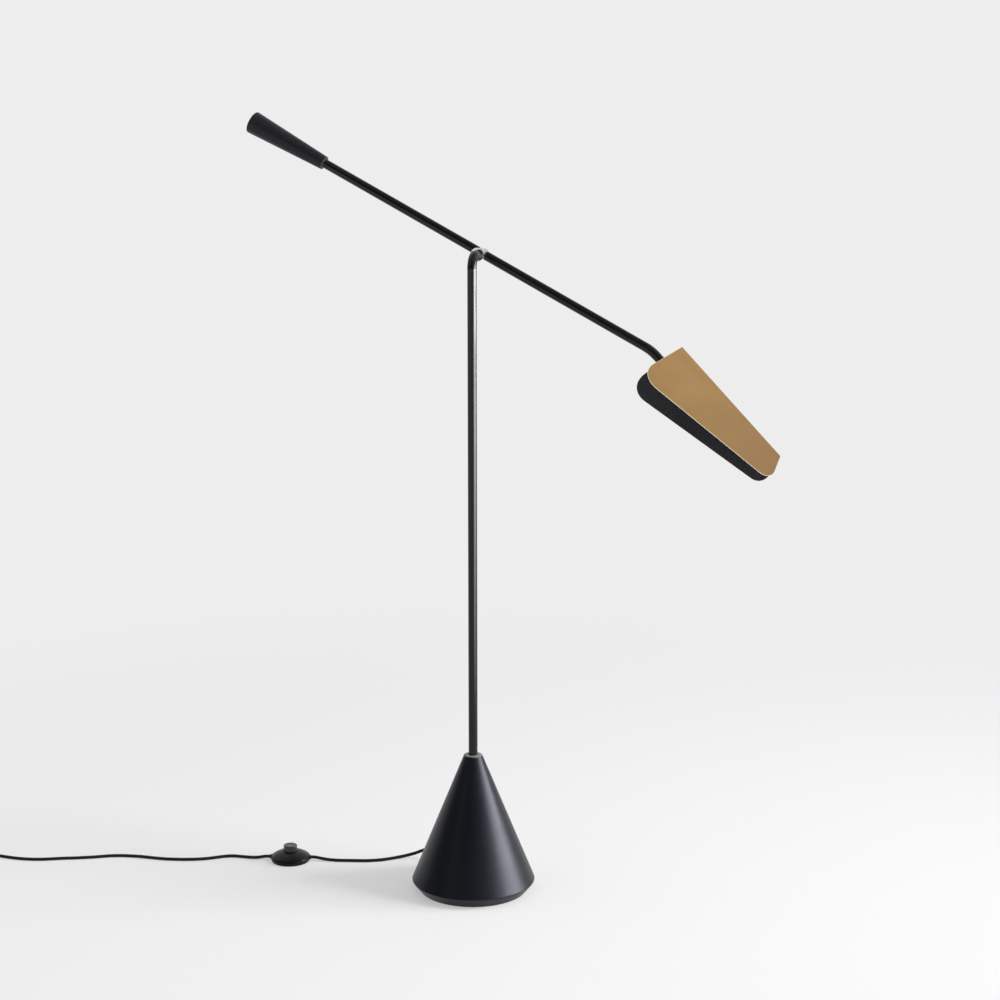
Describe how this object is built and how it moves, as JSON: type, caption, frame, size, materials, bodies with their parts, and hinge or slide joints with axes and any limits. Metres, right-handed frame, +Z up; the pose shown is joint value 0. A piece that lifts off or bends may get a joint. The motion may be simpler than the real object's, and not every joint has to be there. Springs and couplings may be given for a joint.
{
  "type": "floor lamp",
  "caption": "Floor lamp with a weighted cone base, thin post, counterweighted tilting arm, folded V-shaped sheet shade that turns on the arm's end, and a round foot switch on the lead.",
  "frame": {"origin": "centre of the cone base's felt foot, on the floor", "axes": "+Z up along the post; +X towards the shade, in the plane in which the arm tilts; +Y along the bent top of the post towards the arm"},
  "size_m": [1.5242, 0.357, 1.3698],
  "materials": {
    "cone_black": "satin",
    "tube_black": "satin",
    "weight_black": "matte",
    "plate_black": "matte",
    "ballast_stone": "matte",
    "steel_bright": "satin",
    "nickel": "polished",
    "shade_brass": "satin",
    "brass_fitting": "satin",
    "cord_black": "matte",
    "rubber_black": "matte",
    "switch_plastic": "gloss",
    "button_plastic": "satin",
    "block_plastic": "matte",
    "holder_plastic": "satin",
    "tie_plastic": "matte",
    "fibre": "matte",
    "felt_dark": "matte",
    "opal_glass": "gloss"
  },
  "bodies": {
    "stand": {"base_cone": "cone_black", "ballast": "ballast_stone", "base_plate": "plate_black", "plate_screws": "steel_bright", "felt_pad": "felt_dark", "post_tube": "tube_black", "post_nipple": "brass_fitting", "base_washer": "steel_bright", "base_nut": "brass_fitting", "base_lead": "cord_black", "cord_gland": "rubber_black", "pivot_bush": "steel_bright", "pivot_stud": "steel_bright", "pivot_washer": "nickel", "pivot_spring_washer": "steel_bright", "pivot_cap": "nickel", "switch_base": "switch_plastic", "switch_cover": "switch_plastic", "switch_block": "block_plastic", "switch_spring": "steel_bright", "switch_screws": "steel_bright", "switch_bushings": "rubber_black", "cord_to_switch": "cord_black", "cord_to_coil": "cord_black", "cord_coil": "cord_black", "coil_tie": "tie_plastic", "plug_body": "switch_plastic", "plug_blades": "brass_fitting"},
    "arm": {"arm_hub": "nickel", "arm_tube_back": "tube_black", "arm_tube_front": "tube_black", "arm_lead": "cord_black", "counterweight": "weight_black", "clamp_screw": "steel_bright", "shade_bush": "brass_fitting", "shade_nipple": "brass_fitting", "shade_washer": "fibre", "shade_spring_washer": "steel_bright", "lamp_holder": "holder_plastic", "screw_shell": "brass_fitting", "bulb_cap": "nickel", "bulb_glass": "opal_glass"},
    "shade": {"shade_sheet": "shade_brass", "shade_bracket": "tube_black"},
    "button": {"switch_button": "button_plastic"}
  },
  "joints": [
    {"name": "arm_tilt", "type": "hinge", "parent": "stand", "child": "arm", "pos_m": [0, 0.0636, 1.131], "axis": [0, 1, 0], "range_deg": [-68, 32]},
    {"name": "shade_turn", "type": "hinge", "parent": "arm", "child": "shade", "pos_m": [0.33277, 0.0636, 0.9366], "axis": [0.6884, 0, -0.7254], "continuous": true},
    {"name": "foot_button", "type": "slide", "parent": "stand", "child": "button", "axis": [0, 0, 1], "range_m": [-0.003, 0], "stiffness_N_per_m": 800, "springref_m": 0.002, "deforming": ["switch_spring"]}
  ]
}
